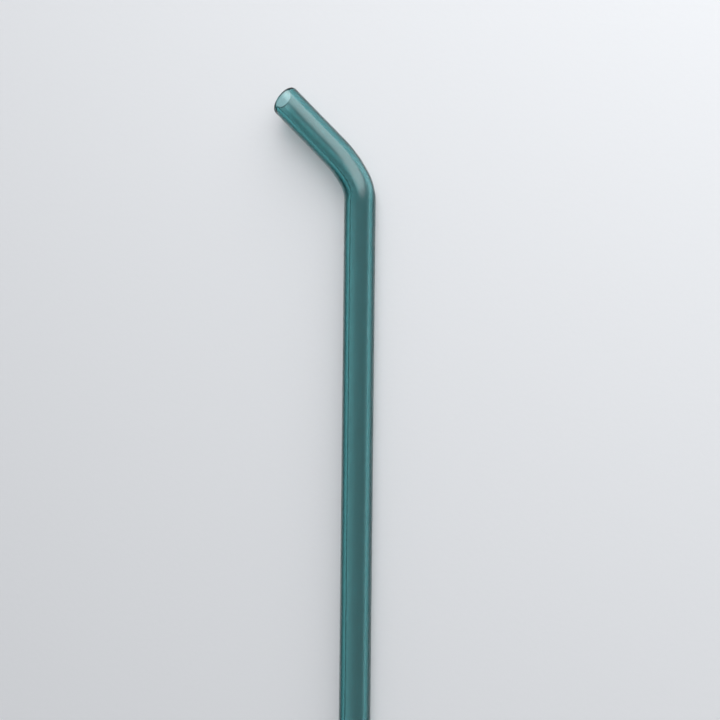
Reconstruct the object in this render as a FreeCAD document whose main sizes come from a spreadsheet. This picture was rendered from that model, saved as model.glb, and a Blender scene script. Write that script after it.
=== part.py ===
"""A bent drinking straw of clear glass tube, one solid, lying on the floor.

The straight leg runs along Y with its lower end at the low end of Y. At its
upper end the tube is bent towards the low end of X, first round a tight arc
and then round a long gentle one, into a short straight tip that ends in a
slightly slanted mouth. Both ends are melted round. The bend stretched the
outer wall thinner and left the inner wall thicker, so the bore runs off
centre there. Millimetres, Z up.
"""
import FreeCAD
import Part
import os
import Sketcher
from math import cos, radians, sin

SIZES = {
    "outside_diameter": 8.0,
    "wall_thickness": 1.6,
    "leg_length": 164.0,
    "tight_bend_radius": 10.8,
    "tight_bend_angle": 32.0,
    "gentle_bend_radius": 34.5,
    "gentle_bend_angle": 16.3,
    "tip_length": 20.0,
    "mouth_slant_angle": 7.5,
    "bend_narrowing": 0.16,
    "bend_bore_shift": 0.35,
    "lip_flat_width": 0.3,
}

# Each of these follows from the sizes above and the rows before it.
WORKED_OUT = {
    "outer_radius": "outside_diameter / 2",
    "bore_radius": "outside_diameter / 2 - wall_thickness",
    "lip_radius": "(wall_thickness - lip_flat_width) / 2",
    "half_tight_angle": "tight_bend_angle / 2",
    "full_bend_angle": "tight_bend_angle + gentle_bend_angle",
    "middle_x": "0 - tight_bend_radius * (1 - cos(half_tight_angle * 1deg))",
    "middle_y": "tight_bend_radius * sin(half_tight_angle * 1deg)",
    "joint_x": "0 - tight_bend_radius * (1 - cos(tight_bend_angle * 1deg))",
    "joint_y": "tight_bend_radius * sin(tight_bend_angle * 1deg)",
    "tip_start_x": (
        "joint_x - gentle_bend_radius"
        " * (cos(tight_bend_angle * 1deg) - cos(full_bend_angle * 1deg))"
    ),
    "tip_start_y": (
        "joint_y + gentle_bend_radius"
        " * (sin(full_bend_angle * 1deg) - sin(tight_bend_angle * 1deg))"
    ),
    "mouth_x": "tip_start_x - tip_length * sin(full_bend_angle * 1deg)",
    "mouth_y": "tip_start_y + tip_length * cos(full_bend_angle * 1deg)",
    "mouth_angle": "full_bend_angle + mouth_slant_angle",
    "lip_middle": "outer_radius - lip_radius",
    "slant_drop": "lip_middle * tan(mouth_slant_angle * 1deg)",
    "lip_depth": "lip_radius / cos(mouth_slant_angle * 1deg)",
    "lowest_x": (
        "mouth_x - lip_middle * cos(full_bend_angle * 1deg)"
        " + (slant_drop + lip_depth) * sin(full_bend_angle * 1deg) - lip_radius"
    ),
    "highest_y": (
        "mouth_y + lip_middle * sin(full_bend_angle * 1deg)"
        " + (slant_drop - lip_depth) * cos(full_bend_angle * 1deg) + lip_radius"
    ),
}

# The tube's cross planes: where each crosses the centre line and the angle
# turned so far, as names in the sheet.
LEG_END = ("0", "0", "0")
TIGHT_MIDDLE = ("Sizes.middle_x", "Sizes.middle_y", "Sizes.half_tight_angle")
ARC_JOINT = ("Sizes.joint_x", "Sizes.joint_y", "Sizes.tight_bend_angle")
TIP_START = ("Sizes.tip_start_x", "Sizes.tip_start_y", "Sizes.full_bend_angle")


def fill_sheet(doc):
    """Write the sizes and what follows from them, one named cell a row."""
    sheet = doc.addObject("Spreadsheet::Sheet", "Sizes")
    rows = [(name, str(value)) for name, value in SIZES.items()]
    rows += [(name, "=" + text) for name, text in WORKED_OUT.items()]
    for number, (name, text) in enumerate(rows, 1):
        sheet.set("A" + str(number), name)
        sheet.set("B" + str(number), text)
        sheet.setAlias("B" + str(number), name)
        doc.recompute()
    return sheet


def flat_sketch(body, name):
    """A sketch on the plane that the bent tube's centre line lies in."""
    sketch = body.newObject("Sketcher::SketchObject", name)
    plane = next(o for o in body.Origin.OriginFeatures if o.Role == "XY_Plane")
    sketch.AttachmentSupport = [(plane, "")]
    sketch.MapMode = "FlatFace"
    return sketch


def cross_sketch(body, name, station):
    """A sketch square to the tube at a station of its centre line.

    Its own X points up, its Y to the outside of the bend, and its normal
    along the tube towards the mouth.
    """
    sketch = flat_sketch(body, name)
    x, y, angle = station
    sketch.setExpression(
        "AttachmentOffset",
        "placement(vector(" + x + "; " + y + "; 0); "
        "rotation(vector(0; 0; 1); " + angle + ")"
        " * rotation(vector(1; 1; 1); -120))",
    )
    return sketch


def name_size(sketch, constraint, name, text):
    """Add a dimension, name it and bind it to the sheet."""
    index = sketch.addConstraint(constraint)
    sketch.renameConstraint(index, name)
    sketch.setExpression("Constraints." + name, text)


def add_round(sketch, radius, text):
    """A circle about the tube's own centre line."""
    centre = FreeCAD.Vector(0, 0, 0)
    normal = FreeCAD.Vector(0, 0, 1)
    sketch.addGeometry(Part.Circle(centre, normal, radius))
    sketch.addConstraint(Sketcher.Constraint("Coincident", 0, 3, -1, 1))
    name_size(sketch, Sketcher.Constraint("Radius", 0, radius), "radius", text)


def add_shifted_round(sketch, radius, shift):
    """The bore's circle where it runs towards the outside of the bend."""
    centre = FreeCAD.Vector(0, shift, 0)
    normal = FreeCAD.Vector(0, 0, 1)
    sketch.addGeometry(Part.Circle(centre, normal, radius))
    sketch.addConstraint(Sketcher.Constraint("PointOnObject", 0, 3, -2))
    radius_size = Sketcher.Constraint("Radius", 0, radius)
    name_size(sketch, radius_size, "radius", "Sizes.bore_radius")
    shift_size = Sketcher.Constraint("DistanceY", -1, 1, 0, 3, shift)
    name_size(sketch, shift_size, "shift", "Sizes.bend_bore_shift")


def add_narrowed_round(sketch, radius, narrowing):
    """The outline in the bend: full height, a little less across."""
    half_across = radius - narrowing / 2
    tall_end = FreeCAD.Vector(radius, 0, 0)
    across_end = FreeCAD.Vector(0, half_across, 0)
    centre = FreeCAD.Vector(0, 0, 0)
    sketch.addGeometry(Part.Ellipse(tall_end, across_end, centre))
    sketch.exposeInternalGeometry(0)
    sketch.addConstraint(Sketcher.Constraint("Coincident", 0, 3, -1, 1))
    sketch.addConstraint(Sketcher.Constraint("Horizontal", 1))
    height_size = Sketcher.Constraint("Distance", 1, 2 * radius)
    name_size(sketch, height_size, "height", "Sizes.outside_diameter")
    across_size = Sketcher.Constraint("Distance", 2, 2 * half_across)
    across_text = "Sizes.outside_diameter - Sizes.bend_narrowing"
    name_size(sketch, across_size, "across", across_text)


def add_centre_line(sketch):
    """The bend's centre line: the tight arc in two halves, then the gentle."""
    tight = SIZES["tight_bend_radius"]
    gentle = SIZES["gentle_bend_radius"]
    half = radians(SIZES["tight_bend_angle"]) / 2
    joint = 2 * half
    end = joint + radians(SIZES["gentle_bend_angle"])
    normal = FreeCAD.Vector(0, 0, 1)
    tight_centre = FreeCAD.Vector(-tight, 0, 0)
    across = FreeCAD.Vector(cos(joint), sin(joint), 0)
    gentle_centre = tight_centre + across * (tight - gentle)
    tight_circle = Part.Circle(tight_centre, normal, tight)
    gentle_circle = Part.Circle(gentle_centre, normal, gentle)
    sketch.addGeometry(Part.ArcOfCircle(tight_circle, 0, half))
    sketch.addGeometry(Part.ArcOfCircle(tight_circle, half, joint))
    sketch.addGeometry(Part.ArcOfCircle(gentle_circle, joint, end))
    sketch.addConstraint(Sketcher.Constraint("Coincident", 0, 1, -1, 1))
    sketch.addConstraint(Sketcher.Constraint("PointOnObject", 0, 3, -1))
    sketch.addConstraint(Sketcher.Constraint("Coincident", 1, 1, 0, 2))
    sketch.addConstraint(Sketcher.Constraint("Coincident", 1, 3, 0, 3))
    sketch.addConstraint(Sketcher.Constraint("Tangent", 2, 1, 1, 2))
    turns = (
        ("first_half", 0, half, "Sizes.half_tight_angle"),
        ("second_half", 1, half, "Sizes.half_tight_angle"),
        ("gentle_turn", 2, end - joint, "Sizes.gentle_bend_angle"),
    )
    for name, index, angle, text in turns:
        turn = Sketcher.Constraint("Angle", index, angle)
        name_size(sketch, turn, name, text + " * 1deg")
    tight_size = Sketcher.Constraint("Radius", 0, tight)
    name_size(sketch, tight_size, "tight_radius", "Sizes.tight_bend_radius")
    gentle_size = Sketcher.Constraint("Radius", 2, gentle)
    name_size(sketch, gentle_size, "gentle_radius", "Sizes.gentle_bend_radius")


def add_square(sketch, side):
    """A square with its near side on the sketch's own X, centred on it."""
    corners = ((-side / 2, 0), (side / 2, 0), (side / 2, side), (-side / 2, side))
    points = [FreeCAD.Vector(x, y, 0) for x, y in corners]
    for index in range(4):
        line = Part.LineSegment(points[index], points[(index + 1) % 4])
        sketch.addGeometry(line)
    for index in range(4):
        joined = Sketcher.Constraint("Coincident", index, 2, (index + 1) % 4, 1)
        sketch.addConstraint(joined)
    sketch.addConstraint(Sketcher.Constraint("Horizontal", 2))
    sketch.addConstraint(Sketcher.Constraint("Vertical", 1))
    sketch.addConstraint(Sketcher.Constraint("Vertical", 3))
    sketch.addConstraint(Sketcher.Constraint("Symmetric", 0, 1, 0, 2, -1, 1))
    width_size = Sketcher.Constraint("Distance", 0, side)
    name_size(sketch, width_size, "width", "Sizes.outside_diameter * 2")
    depth_size = Sketcher.Constraint("Distance", 1, side)
    name_size(sketch, depth_size, "depth", "Sizes.outside_diameter * 2")


def straight(body, kind, name, sketch, length_text, towards_mouth):
    """A Pad or Pocket of a cross sketch along the tube."""
    feature = body.newObject("PartDesign::" + kind, name)
    feature.Profile = sketch
    # a Pocket cuts against its sketch's normal unless it is reversed
    feature.Reversed = towards_mouth if kind == "Pocket" else not towards_mouth
    feature.setExpression("Length", length_text)
    return feature


def swept(body, kind, name, sections, centre_line):
    """An AdditivePipe or SubtractivePipe through sections of the bend."""
    feature = body.newObject("PartDesign::" + kind, name)
    feature.Profile = sections[0]
    feature.Spine = centre_line
    feature.Transformation = "Multisection"
    feature.Sections = sections[1:]
    return feature


def rim_edges(shape, point, normal):
    """Names of the edges that lie in the plane through point."""
    names = []
    for index, edge in enumerate(shape.Edges, 1):
        ends = [edge.valueAt(u) for u in edge.ParameterRange]
        ends.append(edge.valueAt(sum(edge.ParameterRange) / 2))
        if all(abs((end - point).dot(normal)) < 1e-5 for end in ends):
            names.append("Edge" + str(index))
    return names


def build_straw(doc, sheet):
    """The whole tube as one body."""
    body = doc.addObject("PartDesign::Body", "Straw")
    body.Label = "straw"
    outer = sheet.outer_radius
    bore = sheet.bore_radius
    narrowing = sheet.bend_narrowing
    shift = sheet.bend_bore_shift

    centre_line = flat_sketch(body, "BendCentreLine")
    add_centre_line(centre_line)

    # the glass, as a solid rod first
    leg_outline = cross_sketch(body, "LegOutline", LEG_END)
    add_round(leg_outline, outer, "Sizes.outer_radius")
    tight_outline = cross_sketch(body, "TightBendOutline", TIGHT_MIDDLE)
    add_narrowed_round(tight_outline, outer, narrowing)
    joint_outline = cross_sketch(body, "ArcJointOutline", ARC_JOINT)
    add_narrowed_round(joint_outline, outer, narrowing)
    tip_outline = cross_sketch(body, "TipOutline", TIP_START)
    add_round(tip_outline, outer, "Sizes.outer_radius")
    doc.recompute()
    straight(body, "Pad", "Leg", leg_outline, "Sizes.leg_length", False)
    outlines = [leg_outline, tight_outline, joint_outline, tip_outline]
    swept(body, "AdditivePipe", "Bend", outlines, centre_line)
    tip_text = "Sizes.tip_length + Sizes.outer_radius"
    straight(body, "Pad", "Tip", tip_outline, tip_text, True)
    doc.recompute()

    # the bore, from the leg's lower end to the mouth
    leg_bore = cross_sketch(body, "LegBore", LEG_END)
    add_round(leg_bore, bore, "Sizes.bore_radius")
    tight_bore = cross_sketch(body, "TightBendBore", TIGHT_MIDDLE)
    add_shifted_round(tight_bore, bore, shift)
    joint_bore = cross_sketch(body, "ArcJointBore", ARC_JOINT)
    add_shifted_round(joint_bore, bore, shift)
    tip_bore = cross_sketch(body, "TipBore", TIP_START)
    add_round(tip_bore, bore, "Sizes.bore_radius")
    doc.recompute()
    straight(body, "Pocket", "LegHollow", leg_bore, "Sizes.leg_length", False)
    bores = [leg_bore, tight_bore, joint_bore, tip_bore]
    swept(body, "SubtractivePipe", "BendHollow", bores, centre_line)
    straight(body, "Pocket", "TipHollow", tip_bore, tip_text, True)
    doc.recompute()

    # the mouth, cut a little off square so that its upper side reaches further
    mouth_cut = flat_sketch(body, "MouthCut")
    mouth_cut.setExpression(
        "AttachmentOffset",
        "placement(vector(Sizes.mouth_x; Sizes.mouth_y; 0); "
        "rotation(vector(0; 0; 1); Sizes.mouth_angle))",
    )
    add_square(mouth_cut, 2 * sheet.outside_diameter)
    doc.recompute()
    mouth = body.newObject("PartDesign::Pocket", "Mouth")
    mouth.Profile = mouth_cut
    mouth.Midplane = True
    mouth.setExpression("Length", "Sizes.outside_diameter * 2")
    doc.recompute()

    # both rims, inside and outside, melted round
    mouth_point = FreeCAD.Vector(sheet.mouth_x, sheet.mouth_y, 0)
    mouth_turn = radians(sheet.mouth_angle)
    mouth_normal = FreeCAD.Vector(-sin(mouth_turn), cos(mouth_turn), 0)
    foot_point = FreeCAD.Vector(0, -sheet.leg_length, 0)
    foot_normal = FreeCAD.Vector(0, 1, 0)
    rims = rim_edges(mouth.Shape, mouth_point, mouth_normal)
    rims += rim_edges(mouth.Shape, foot_point, foot_normal)
    lips = body.newObject("PartDesign::Fillet", "MeltedLips")
    lips.Base = (mouth, rims)
    lips.setExpression("Radius", "Sizes.lip_radius")

    # lying on the floor, with the middle of its outline at the origin
    body.setExpression(
        "Placement",
        "placement(vector(0 - (Sizes.lowest_x + Sizes.outer_radius) / 2; "
        "(Sizes.leg_length - Sizes.highest_y) / 2; Sizes.outer_radius); "
        "rotation(vector(0; 0; 1); 0))",
    )
    doc.recompute()
    return body


def check(doc, body):
    """Stop unless every object has been worked out and the solid is sound."""
    for item in doc.Objects:
        if "Invalid" in item.State or "Error" in item.State:
            raise RuntimeError(item.Name + " was not worked out: " + str(item.State))
    shape = body.Shape
    if shape.isNull() or not shape.isValid() or len(shape.Solids) != 1:
        raise RuntimeError("the straw is not one sound solid")


doc = FreeCAD.newDocument("Straw")
sizes = fill_sheet(doc)
straw = build_straw(doc, sizes)
check(doc, straw)
os.makedirs("parts", exist_ok=True)
straw.Shape.exportStep("parts/straw.step")
box = straw.Shape.BoundBox
print("straw volume", round(straw.Shape.Volume, 2), "cubic millimetres")
print("x", round(box.XMin, 3), round(box.XMax, 3))
print("y", round(box.YMin, 3), round(box.YMax, 3))
print("z", round(box.ZMin, 3), round(box.ZMax, 3))
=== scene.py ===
"""The look of the bent glass drinking straw.

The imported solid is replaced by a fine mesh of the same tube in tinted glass,
lying on a sheet of pale paper under one large soft light. Metres, Z up.
"""
from math import cos, radians, sin, tan

import bpy
import numpy as np
from mathutils import Matrix, Vector


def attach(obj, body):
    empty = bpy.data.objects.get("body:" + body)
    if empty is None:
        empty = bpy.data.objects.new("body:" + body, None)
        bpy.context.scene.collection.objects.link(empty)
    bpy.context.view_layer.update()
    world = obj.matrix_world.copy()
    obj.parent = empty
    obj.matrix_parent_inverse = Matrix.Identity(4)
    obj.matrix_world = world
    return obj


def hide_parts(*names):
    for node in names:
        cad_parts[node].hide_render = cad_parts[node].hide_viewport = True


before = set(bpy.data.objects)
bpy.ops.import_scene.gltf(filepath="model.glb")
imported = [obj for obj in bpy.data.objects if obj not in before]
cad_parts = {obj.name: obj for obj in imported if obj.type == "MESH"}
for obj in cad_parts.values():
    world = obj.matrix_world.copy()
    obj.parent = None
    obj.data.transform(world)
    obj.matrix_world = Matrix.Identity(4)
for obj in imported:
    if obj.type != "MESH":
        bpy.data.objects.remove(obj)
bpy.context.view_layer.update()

MM = 0.001

# The tube's sizes, as in the solid, in millimetres and degrees.
OUTER_RADIUS = 4.0
WALL = 1.6
BORE_RADIUS = OUTER_RADIUS - WALL
LEG_LENGTH = 164.0
TIGHT_RADIUS = 10.8
TIGHT_TURN = radians(32.0)
GENTLE_RADIUS = 34.5
GENTLE_TURN = radians(16.3)
TIP_LENGTH = 20.0
MOUTH_SLANT = radians(7.5)
BEND_NARROWING = 0.16
BEND_BORE_SHIFT = 0.35
LIP_FLAT = 0.3
LIP_RADIUS = (WALL - LIP_FLAT) / 2
TIGHT_ARC = TIGHT_RADIUS * TIGHT_TURN
GENTLE_ARC = GENTLE_RADIUS * GENTLE_TURN
# rounding a slanted cut takes a little more off its longer side
LIP_LOSS = 0.08
MOUTH_AT = TIGHT_ARC + GENTLE_ARC + TIP_LENGTH - LIP_LOSS
# the mesh's rings turn from square to slanted over this stretch of the tip
SLANT_FADES_BY = 12.0
SLANT_FADES_OVER = 10.0

# The row frame's origin is under the middle of the solid's box. The leg's
# outer side and its lower end are two of that box's sides, so half the box
# gives where the leg meets the bend, in the row frame, in millimetres.
HALF_WIDTH = 14.4704
HALF_LENGTH = 96.7565
BEND_START = (HALF_WIDTH - OUTER_RADIUS, LEG_LENGTH - HALF_LENGTH, OUTER_RADIUS)

# How the photograph's camera stood to the straw, in millimetres: the bend's
# plane was turned away from it about the leg, and the leg leans a little in
# the picture.
CAMERA_DISTANCE = 1000.0
CAMERA_BELOW = -40.09
PLANE_TURN = radians(-30.41)
LEG_LEAN = radians(0.61)
LENS = 197.37
SENSOR = 36.0

# What the glass takes of red, green and blue is 1 minus this colour, times
# the density, a metre: 0.58, 0.26 and 0.25 a millimetre.
GLASS_COLOUR = "#00C4C6"
GLASS_DENSITY = 580.0
GLASS_INDEX = 1.47

# How often each pattern repeats in a metre: the drawn lines are 1.1 mm apart,
# with finer ones between them, and the paper's felt grain is 1.4 mm wide.
DRAWN_LINES = 900.0
FELT_GRAINS = 700.0

# How much of the floor, as it is seen, is its plain colour without shadow.
EVEN_SHARE = 0.24
EVEN_STRENGTH = 0.88


def linear(code):
    """A colour written as sRGB hex, as linear red, green, blue and alpha."""
    parts = [int(code[i:i + 2], 16) / 255 for i in (1, 3, 5)]
    low = [c / 12.92 for c in parts]
    high = [((c + 0.055) / 1.055) ** 2.4 for c in parts]
    return (*[lo if c <= 0.04045 else hi for c, lo, hi in zip(parts, low, high)], 1.0)


def add_node(tree, kind, settings=None, values=None, links=None):
    """Add a node, with its settings, socket values and links from sockets."""
    node = tree.nodes.new(kind)
    for name, value in (settings or {}).items():
        setattr(node, name, value)
    for name, value in (values or {}).items():
        node.inputs[name].default_value = value
    for name, source in (links or {}).items():
        tree.links.new(source, node.inputs[name])
    return node


def new_material(name):
    """An empty node material and its output node."""
    material = bpy.data.materials.new(name)
    material.use_nodes = True
    material.node_tree.nodes.clear()
    output = add_node(material.node_tree, "ShaderNodeOutputMaterial")
    return material, material.node_tree, output


def centre_line(along):
    """Points on the centre line and the angle turned there.

    along is measured from the start of the bend, towards the mouth: straight
    below it, then an arc of the tight radius, an arc of the gentle radius,
    and straight again.
    """
    tight = np.clip(along, 0, TIGHT_ARC) / TIGHT_RADIUS
    gentle = np.clip(along - TIGHT_ARC, 0, GENTLE_ARC) / GENTLE_RADIUS
    before = np.minimum(along, 0)
    after = np.maximum(along - TIGHT_ARC - GENTLE_ARC, 0)
    turned = tight + gentle
    x = TIGHT_RADIUS * (np.cos(tight) - 1)
    x = x + GENTLE_RADIUS * (np.cos(turned) - np.cos(tight))
    x = x - after * np.sin(turned)
    y = before + TIGHT_RADIUS * np.sin(tight)
    y = y + GENTLE_RADIUS * (np.sin(turned) - np.sin(tight))
    y = y + after * np.cos(turned)
    return x, y, turned


def bend_share(along):
    """How much the bend has worked on the glass: 0 on the straights, 1 from
    the middle of the tight arc to its end, fading along the gentle arc. Both
    slopes are eased, as three times the share squared less twice its cube."""
    rise = np.clip(along / (TIGHT_ARC / 2), 0, 1)
    fall = np.clip((TIGHT_ARC + GENTLE_ARC - along) / GENTLE_ARC, 0, 1)
    share = np.minimum(rise, fall)
    return share * share * (3 - 2 * share)


def wall_stations(leg_rings=34, bend_rings=72, tip_rings=12):
    """Places along the tube, closer together round the bend. The rings of the
    two straights keep a little clear of the bend's and of the lips'."""
    clear_of_bend = 0.5
    clear_of_mouth = 1.5
    clear_of_lower_lip = 0.01
    bend_end = TIGHT_ARC + GENTLE_ARC
    leg_end = -LEG_LENGTH + LIP_RADIUS
    leg = np.linspace(leg_end + clear_of_lower_lip, -clear_of_bend, leg_rings)
    bend = np.linspace(0, bend_end, bend_rings)
    tip = np.linspace(bend_end + clear_of_bend, MOUTH_AT - clear_of_mouth, tip_rings)
    return np.concatenate([leg, bend, tip])


def tube_grid(around=224, round_lip=10):
    """The tube's whole surface as one grid, closed both ways.

    One way runs up the outer wall, over the mouth's lip, down the bore and
    round the lower lip. The other runs round the tube. At each place the
    point is the centre line's, plus the wall's radius across the bend's plane
    and up, plus the shift of the bore. Each lip is a quarter circle, a narrow
    flat and a quarter circle; at the mouth all of it is slid along the tube
    by the slant's tangent times how far across the point lies.
    """
    stations = wall_stations()
    quarter = np.linspace(0, np.pi / 2, round_lip)
    # one lip, from the outer wall to the bore: radius, and depth below the end
    lip_out = OUTER_RADIUS - LIP_RADIUS * (1 - np.cos(quarter))
    lip_in = BORE_RADIUS + LIP_RADIUS * (1 - np.cos(quarter[::-1]))
    lip_rho = np.concatenate([lip_out, lip_in])
    depth_out = LIP_RADIUS * (1 - np.sin(quarter))
    lip_depth = np.concatenate([depth_out, depth_out[::-1]])
    last = np.full(lip_rho.shape, MOUTH_AT) - lip_depth
    first = np.full(lip_rho.shape, -LEG_LENGTH) + lip_depth
    along = np.concatenate([stations, last, stations[::-1], first[::-1]])
    rho = np.concatenate([
        np.full(stations.shape, OUTER_RADIUS),
        lip_rho,
        np.full(stations.shape, BORE_RADIUS),
        lip_rho[::-1],
    ])
    is_bore = np.concatenate([
        np.zeros(stations.size + round_lip),
        np.ones(round_lip + stations.size + round_lip),
        np.zeros(round_lip),
    ])
    wall_slid = np.clip((stations - MOUTH_AT + SLANT_FADES_BY) / SLANT_FADES_OVER, 0, 1)
    slid = np.concatenate([
        wall_slid,
        np.ones(lip_rho.size),
        wall_slid[::-1],
        np.zeros(lip_rho.size),
    ])
    angle = np.linspace(0, 2 * np.pi, around, endpoint=False)[None, :]
    along = along[:, None]
    rho = rho[:, None]
    is_bore = is_bore[:, None]
    across = rho * np.cos(angle)
    height = rho * np.sin(angle)
    along = along + slid[:, None] * across * tan(MOUTH_SLANT)
    unbent = np.stack([across, height, along], axis=-1)
    share = bend_share(along)
    across = across * (1 - (1 - is_bore) * share * BEND_NARROWING / 2 / OUTER_RADIUS)
    across = across + is_bore * share * BEND_BORE_SHIFT
    x, y, turned = centre_line(along)
    x = x + across * np.cos(turned)
    y = y + across * np.sin(turned)
    return np.stack([x, y, height], axis=-1), unbent


def closed_grid_mesh(name, points, unbent):
    """A smooth mesh of a grid of points whose two ways both close. Each point
    keeps the place it had before the tube was bent, for the glass's pattern."""
    rows, columns = points.shape[:2]
    index = np.arange(rows * columns).reshape(rows, columns)
    right = np.roll(index, -1, axis=1)
    above = np.roll(index, -1, axis=0)
    above_right = np.roll(above, -1, axis=1)
    quads = np.stack([index, above, above_right, right], axis=-1).reshape(-1, 4)
    mesh = bpy.data.meshes.new(name)
    mesh.vertices.add(rows * columns)
    mesh.vertices.foreach_set("co", points.reshape(-1))
    mesh.loops.add(quads.size)
    mesh.loops.foreach_set("vertex_index", quads.reshape(-1))
    mesh.polygons.add(len(quads))
    mesh.polygons.foreach_set("loop_start", np.arange(0, quads.size, 4))
    mesh.update(calc_edges=True)
    place = mesh.attributes.new("unbent", "FLOAT_VECTOR", "POINT")
    place.data.foreach_set("vector", unbent.reshape(-1))
    mesh.validate()
    mesh.shade_smooth()
    return mesh


def tinted_glass():
    """Borosilicate glass, coloured in the melt and drawn into tube.

    The colour is in the glass, so it deepens with the length of glass a ray
    goes through: pale across one wall, dark where the wall is seen edge on.
    Drawing leaves faint lines along the tube, about a millimetre apart and
    under a micrometre deep, which follow the tube round its bend.
    """
    material, tree, output = new_material("tinted_borosilicate_glass")
    place = add_node(tree, "ShaderNodeAttribute", {"attribute_name": "unbent"})
    stretch = add_node(
        tree, "ShaderNodeMapping",
        values={"Scale": (1.0, 1.0, 0.003)},
        links={"Vector": place.outputs["Vector"]},
    )
    lines = add_node(
        tree, "ShaderNodeTexNoise",
        values={"Scale": DRAWN_LINES, "Detail": 2.0, "Roughness": 0.4},
        links={"Vector": stretch.outputs["Vector"]},
    )
    draw_lines = add_node(
        tree, "ShaderNodeBump",
        values={"Strength": 0.025, "Distance": 0.00002},
        links={"Height": lines.outputs["Fac"]},
    )
    shader = add_node(
        tree, "ShaderNodeBsdfPrincipled",
        values={
            "Base Color": linear("#FFFFFF"),
            "Roughness": 0.0,
            "IOR": GLASS_INDEX,
            "Transmission Weight": 1.0,
        },
        links={"Normal": draw_lines.outputs["Normal"]},
    )
    tint = add_node(
        tree, "ShaderNodeVolumeAbsorption",
        values={"Color": linear(GLASS_COLOUR), "Density": GLASS_DENSITY},
    )
    tree.links.new(shader.outputs["BSDF"], output.inputs["Surface"])
    tree.links.new(tint.outputs["Volume"], output.inputs["Volume"])
    return material


def pale_paper():
    """Heavy rough-pressed paper: matt, near white, with a soft felt grain of
    about a millimetre that only shows as light and shade. A small share of
    what the camera and the glass see of it is its plain colour, which keeps
    the shadows on it as light as they are on a table in a pale room."""
    material, tree, output = new_material("rough_pressed_paper")
    paper_colour = linear("#EAECEF")
    place = add_node(tree, "ShaderNodeTexCoord")
    grain = add_node(
        tree, "ShaderNodeTexNoise",
        values={"Scale": FELT_GRAINS, "Detail": 3.0, "Roughness": 0.5},
        links={"Vector": place.outputs["Object"]},
    )
    relief = add_node(
        tree, "ShaderNodeBump",
        values={"Strength": 0.25, "Distance": 0.0001},
        links={"Height": grain.outputs["Fac"]},
    )
    shader = add_node(
        tree, "ShaderNodeBsdfPrincipled",
        values={
            "Base Color": paper_colour,
            "Roughness": 0.9,
            "Specular IOR Level": 0.2,
        },
        links={"Normal": relief.outputs["Normal"]},
    )
    path = add_node(tree, "ShaderNodeLightPath")
    through = add_node(
        tree, "ShaderNodeMath", {"operation": "MAXIMUM"},
        links={0: path.outputs["Is Camera Ray"], 1: path.outputs["Is Transmission Ray"]},
    )
    seen = add_node(
        tree, "ShaderNodeMath", {"operation": "MAXIMUM"},
        links={0: through.outputs["Value"], 1: path.outputs["Is Glossy Ray"]},
    )
    share = add_node(
        tree, "ShaderNodeMath", {"operation": "MULTIPLY"},
        values={1: EVEN_SHARE},
        links={0: seen.outputs["Value"]},
    )
    even = add_node(
        tree, "ShaderNodeEmission",
        values={"Color": paper_colour, "Strength": EVEN_STRENGTH},
    )
    both = add_node(
        tree, "ShaderNodeMixShader",
        links={0: share.outputs["Value"], 1: shader.outputs["BSDF"], 2: even.outputs["Emission"]},
    )
    tree.links.new(both.outputs["Shader"], output.inputs["Surface"])
    return material


def build_straw():
    """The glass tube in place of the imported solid."""
    points, unbent = tube_grid()
    points = (points + np.array(BEND_START)) * MM
    mesh = closed_grid_mesh("glass_straw", points, unbent * MM)
    straw = bpy.data.objects.new("glass_straw", mesh)
    bpy.context.scene.collection.objects.link(straw)
    straw.data.materials.append(tinted_glass())
    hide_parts("straw")
    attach(straw, "root")


def build_floor():
    """A wide sheet of paper that everything lies on."""
    half = 1.5
    corners = [(-half, -half, 0), (half, -half, 0), (half, half, 0), (-half, half, 0)]
    mesh = bpy.data.meshes.new("paper_floor")
    mesh.from_pydata(corners, [], [(0, 1, 2, 3)])
    mesh.materials.append(pale_paper())
    floor = bpy.data.objects.new("paper_floor", mesh)
    bpy.context.scene.collection.objects.link(floor)


def picture_axes():
    """The picture's right, up and towards-the-camera directions in the row
    frame, as the columns of a matrix."""
    leg = Vector((sin(LEG_LEAN), cos(LEG_LEAN), 0))
    left = Vector((-cos(LEG_LEAN), sin(LEG_LEAN), 0))
    bent_to = left * cos(PLANE_TURN) + Vector((0, 0, 1)) * sin(PLANE_TURN)
    row_x = -bent_to
    row_z = row_x.cross(leg)
    return Matrix((row_x, leg, row_z))


def add_camera():
    """The camera, where the photograph's stood to the straw."""
    axes = picture_axes()
    offset = Vector((0, CAMERA_BELOW, CAMERA_DISTANCE))
    data = bpy.data.cameras.new("camera")
    data.lens = LENS
    data.sensor_width = SENSOR
    data.clip_start = 0.01
    data.clip_end = 20
    camera = bpy.data.objects.new("camera", data)
    place = (Vector(BEND_START) + axes @ offset) * MM
    camera.matrix_world = Matrix.Translation(place) @ axes.to_4x4()
    bpy.context.scene.collection.objects.link(camera)
    bpy.context.scene.camera = camera


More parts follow.
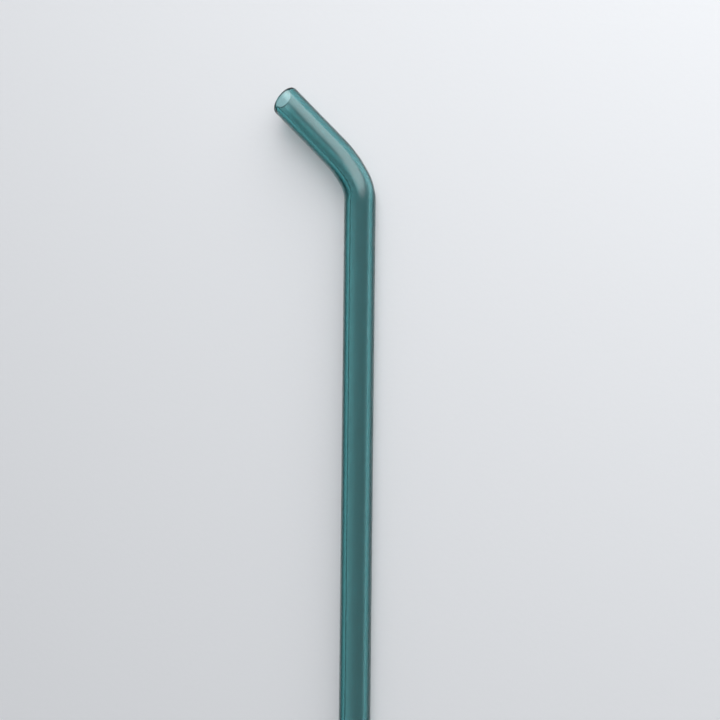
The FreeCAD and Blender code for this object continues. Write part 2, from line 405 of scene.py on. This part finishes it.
def add_soft_light(name, direction, distance, side, power):
    """A soft light towards direction from the middle of the straw, in metres
    and watts. It is bright in the middle and fades to nothing at half its
    side from there, like a curtained window."""
    data = bpy.data.lights.new(name, "AREA")
    data.shape = "SQUARE"
    data.size = side
    data.energy = power
    data.use_nodes = True
    tree = data.node_tree
    tree.nodes.clear()
    output = add_node(tree, "ShaderNodeOutputLight")
    place = add_node(tree, "ShaderNodeNewGeometry")
    from_middle = add_node(
        tree, "ShaderNodeVectorMath", {"operation": "DISTANCE"},
        values={1: (0.5, 0.5, 0.0)},
        links={0: place.outputs["Parametric"]},
    )
    fade = add_node(
        tree, "ShaderNodeMapRange", {"interpolation_type": "SMOOTHSTEP"},
        values={"From Min": 0.12, "From Max": 0.5, "To Min": 1.0, "To Max": 0.0},
        links={"Value": from_middle.outputs["Value"]},
    )
    glow = add_node(
        tree, "ShaderNodeEmission",
        links={"Strength": fade.outputs["Result"]},
    )
    tree.links.new(glow.outputs["Emission"], output.inputs["Surface"])
    light = bpy.data.objects.new(name, data)
    towards = Vector(direction).normalized()
    light.location = towards * distance
    light.rotation_mode = "QUATERNION"
    light.rotation_quaternion = towards.to_track_quat("Z", "Y")
    bpy.context.scene.collection.objects.link(light)


def add_world(towards, dim, bright):
    """Pale light from all round, of strength bright on the side of the soft
    light and strength dim on the side away from it, as in a room with one
    window."""
    world = bpy.data.worlds.new("studio")
    bpy.context.scene.world = world
    world.use_nodes = True
    tree = world.node_tree
    tree.nodes.clear()
    output = add_node(tree, "ShaderNodeOutputWorld")
    direction = add_node(tree, "ShaderNodeTexCoord")
    facing = add_node(
        tree, "ShaderNodeVectorMath", {"operation": "DOT_PRODUCT"},
        values={1: Vector(towards).normalized()},
        links={0: direction.outputs["Generated"]},
    )
    strength = add_node(
        tree, "ShaderNodeMapRange",
        values={"From Min": -0.8, "From Max": 0.8, "To Min": dim, "To Max": bright},
        links={"Value": facing.outputs["Value"]},
    )
    sky = add_node(
        tree, "ShaderNodeBackground",
        values={"Color": linear("#F2F4F8")},
        links={"Strength": strength.outputs["Result"]},
    )
    tree.links.new(sky.outputs["Background"], output.inputs["Surface"])


build_straw()
build_floor()
add_world(towards=(0.38, 0.9, -0.1), dim=0.08, bright=0.64)
add_soft_light("window", direction=(0.45, 0.81, 0.46), distance=0.58, side=1.15, power=18.0)
add_camera()
bpy.context.scene.view_settings.view_transform = "Standard"
